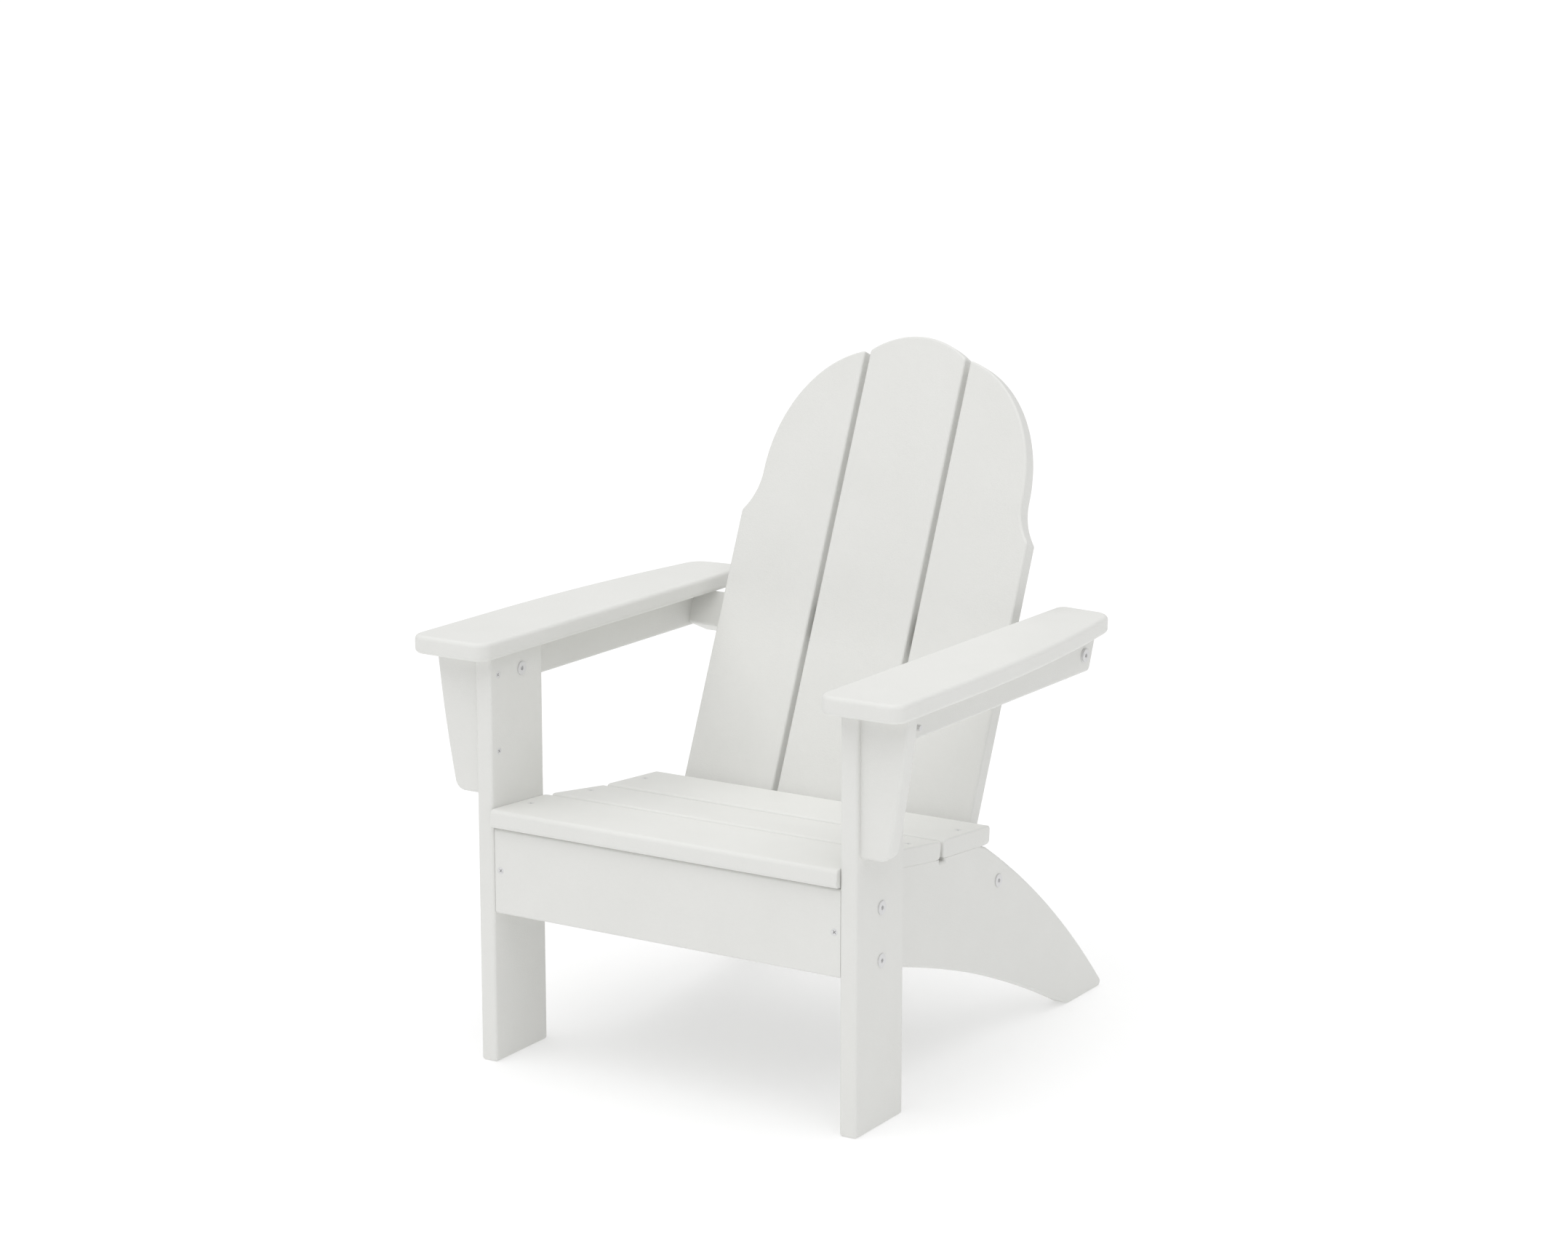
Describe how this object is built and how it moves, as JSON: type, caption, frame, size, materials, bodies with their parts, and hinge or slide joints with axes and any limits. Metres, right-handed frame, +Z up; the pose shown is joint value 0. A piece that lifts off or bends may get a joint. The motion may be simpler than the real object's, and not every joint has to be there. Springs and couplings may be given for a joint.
{
  "type": "adirondack chair",
  "caption": "Low slatted garden chair in white plastic lumber, with a reclined round-topped back, wide flat arms on brackets, and seat stringers that run down as rear legs.",
  "frame": {"origin": "middle of the chair's footprint box, on the floor", "axes": "+X towards the sitter's left, +Y towards the back of the chair, +Z up"},
  "size_m": [0.567, 0.5764, 0.6972],
  "materials": {
    "board_plastic": "matte white plastic lumber with a fine grain",
    "coated_hardware": "white coated bolt and screw heads",
    "bare_hardware": "bare stainless steel"
  },
  "bodies": {
    "root": {"front_leg_left": "board_plastic", "front_leg_right": "board_plastic", "side_stringer_left": "board_plastic", "side_stringer_right": "board_plastic", "front_apron": "board_plastic", "seat_slat_front": "board_plastic", "seat_slat_middle": "board_plastic", "seat_slat_rear": "board_plastic", "back_slat_left": "board_plastic", "back_slat_centre": "board_plastic", "back_slat_right": "board_plastic", "upper_crossbar": "board_plastic", "lower_back_brace": "board_plastic", "arm_left": "board_plastic", "arm_right": "board_plastic", "arm_rail_left": "board_plastic", "arm_rail_right": "board_plastic", "arm_bracket_left": "board_plastic", "arm_bracket_right": "board_plastic", "leg_bolts": "coated_hardware", "leg_bolt_washers": "bare_hardware", "leg_bolt_nuts": "bare_hardware", "arm_bolts": "coated_hardware", "arm_bolt_washers": "bare_hardware", "arm_bolt_nuts": "bare_hardware", "crossbar_bolts": "coated_hardware", "crossbar_washers": "coated_hardware", "crossbar_barrel_nuts": "bare_hardware", "brace_bolts": "coated_hardware", "brace_barrel_nuts": "bare_hardware", "apron_screws": "coated_hardware", "bracket_screws": "coated_hardware", "seat_screws": "coated_hardware", "crossbar_screws": "coated_hardware", "brace_screws": "coated_hardware", "arm_screws": "coated_hardware"}
  },
  "joints": []
}
